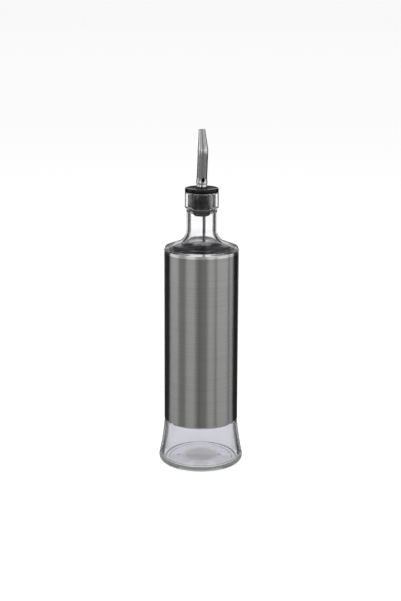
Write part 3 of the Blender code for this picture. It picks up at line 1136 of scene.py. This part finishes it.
def spout_stations():
    """Heights along the unbent spout, each with its outer radius."""
    stations = [(stem_bottom, stem_radius), (spout_foot_bottom - stem_step_length, stem_radius)]
    for step in range(bell_steps + 1):
        share = step / bell_steps
        swell = (spout_foot_step - shank_step) * (1 - share) ** 2
        stations.append((spout_foot_bottom + spout_foot_length * share, spout_radius + swell))
    for step in range(1, shank_steps + 1):
        rise = spout_foot_length + (shank_length - spout_foot_length) * step / shank_steps
        stations.append((spout_foot_bottom + rise, spout_radius))
    for step in range(1, nose_steps + 1):
        share = step / nose_steps
        radius = spout_radius + (nose_radius - spout_radius) * share ** nose_taper
        stations.append((spout_foot_bottom + shank_length + nose_length * share, radius))
    return stations


def spout_tilt(height):
    """Angle from upright of the spout's middle line, at a height on the unbent tube."""
    upper_start = spout_foot_bottom + shank_length - upper_bend_length / 2
    lower_share = (height - spout_foot_bottom - lower_bend_start) / lower_bend_length
    lower_share = min(max(lower_share, 0.0), 1.0)
    upper_share = min(max((height - upper_start) / upper_bend_length, 0.0), 1.0)
    return lean_back * lower_share + (nose_tilt - lean_back) * upper_share


def grow_spout():
    """Extrude, move, scale and turn a ring along the spout."""
    stations = spout_stations()
    last_height, last_radius = stations[0]
    place = Vector((0.0, 0.0, last_height))
    turned = 0.0
    piece = start_ring("bent_spout", spout_sides, last_radius, place)
    for height, radius in stations[1:]:
        run = Vector((0.0, 0.0, 0.0))
        for part in range(run_parts):
            angle = spout_tilt(last_height + (height - last_height) * (part + 0.5) / run_parts)
            run += Vector((0.0, math.sin(angle), math.cos(angle))) * (height - last_height) / run_parts
        place = place + run
        growth = radius / last_radius
        turn = spout_tilt(height) - turned
        extrude(run)
        bpy.ops.transform.resize(value=(growth, growth, growth), center_override=place)
        if turn != 0.0:
            bpy.ops.transform.rotate(value=turn, orient_axis="X", center_override=place)
        turned += turn
        last_height, last_radius = height, radius
    recalculate_normals()
    print("spout's mouth at", [round(1000 * part, 2) for part in place])
    return piece


def add_wall(piece, thickness, even):
    """Give a skin its wall on the inner side, and apply it."""
    wall = piece.modifiers.new("wall", "SOLIDIFY")
    wall.thickness = thickness
    wall.offset = -1.0
    wall.use_even_offset = even
    bpy.ops.object.modifier_apply(modifier=wall.name)


def cut_vent(piece):
    """Cut the oval vent hole in the front of the spout's foot."""
    bpy.ops.object.select_all(action="DESELECT")
    bpy.ops.mesh.primitive_cylinder_add(vertices=vent_sides, radius=vent_radius, depth=vent_cut_depth,
                                        location=(0.0, -vent_cut_depth / 2, vent_middle),
                                        rotation=(quarter, 0.0, 0.0), scale=(1.0, vent_stretch, 1.0))
    cutter = bpy.context.active_object
    hole = piece.modifiers.new("vent", "BOOLEAN")
    hole.operation = "DIFFERENCE"
    hole.object = cutter
    bpy.context.view_layer.objects.active = piece
    bpy.ops.object.modifier_apply(modifier=hole.name)
    bpy.data.objects.remove(cutter)


def make_spout():
    """Make the bent spout with its wall and its vent hole."""
    piece = grow_spout()
    add_wall(piece, spout_wall, even=True)
    cut_vent(piece)
    piece.select_set(True)
    soften(piece, spout_edge_radius, segments=2, angle=50.0)
    finish_skin(piece, polished_steel, "spout", "spout_tube")


make_spout()
spout_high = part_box("spout_tube")[1]
print("CAD spout's top in mm:", round(1000 * spout_high.z, 2))

# %% [markdown]
# The breather
#
# A thin tube starts behind the vent hole, turns aside inside the stem and hangs down into the neck,
# so that air can flow in while oil flows out.

# %% Breather
breather_radius = 0.00098
breather_wall = 0.00028
breather_clearance = 0.00015
breather_turn = math.radians(55.0)
breather_drop = 0.0480
breather_bend_length = 0.0060
breather_sides = 32
breather_steps = 12
breather_place = stem_radius - spout_wall - breather_clearance - breather_radius


def make_breather():
    """Make the breather from a ring that is extruded and moved down its path."""
    top = vent_middle - vent_radius
    places = []
    for step in range(breather_steps + 1):
        share = step / breather_steps
        turn = breather_turn * share
        places.append(Vector((math.sin(turn) * breather_place, -math.cos(turn) * breather_place,
                              top - breather_bend_length * share)))
    places.append(Vector((places[-1].x, places[-1].y, plug_bottom - breather_drop)))
    piece = start_ring("breather", breather_sides, breather_radius, places[0])
    for last, place in zip(places, places[1:]):
        extrude(place - last)
    recalculate_normals()
    add_wall(piece, breather_wall, even=False)
    finish_skin(piece, breather_steel, "spout", "breather_tube")


make_breather()

# %% [markdown]
# The adhesive
#
# Two narrow bands of clear adhesive hold the sleeve. They are out of sight behind the steel, so
# they keep the frame's own shapes and only get their finish.

# %% Adhesive
cloudy_tint = (0.76, 0.76, 0.71)
plain_tint = (0.84, 0.84, 0.80)


def make_adhesive():
    """Clear adhesive behind the sleeve."""
    material, tree, shader = new_material("clear_adhesive", Transmission_Weight=0.7)
    wear = add_wear(tree, object_place(tree), smudge_scale=180.0, scratch_scale=500.0)
    set_grey(tree, shader, "Roughness", wear["Scratches"], low=0.28, high=0.42)
    tint = ramp(tree, wear["Smudges"], [(0.0, cloudy_tint), (1.0, plain_tint)])
    tree.links.new(tint, shader.inputs["Base Color"])
    return material


clear_adhesive = make_adhesive()
for node_name in ("sleeve_bond_lower", "sleeve_bond_upper"):
    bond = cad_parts[node_name]
    bond.data.materials.clear()
    bond.data.materials.append(clear_adhesive)
    print(node_name, "has its finish")
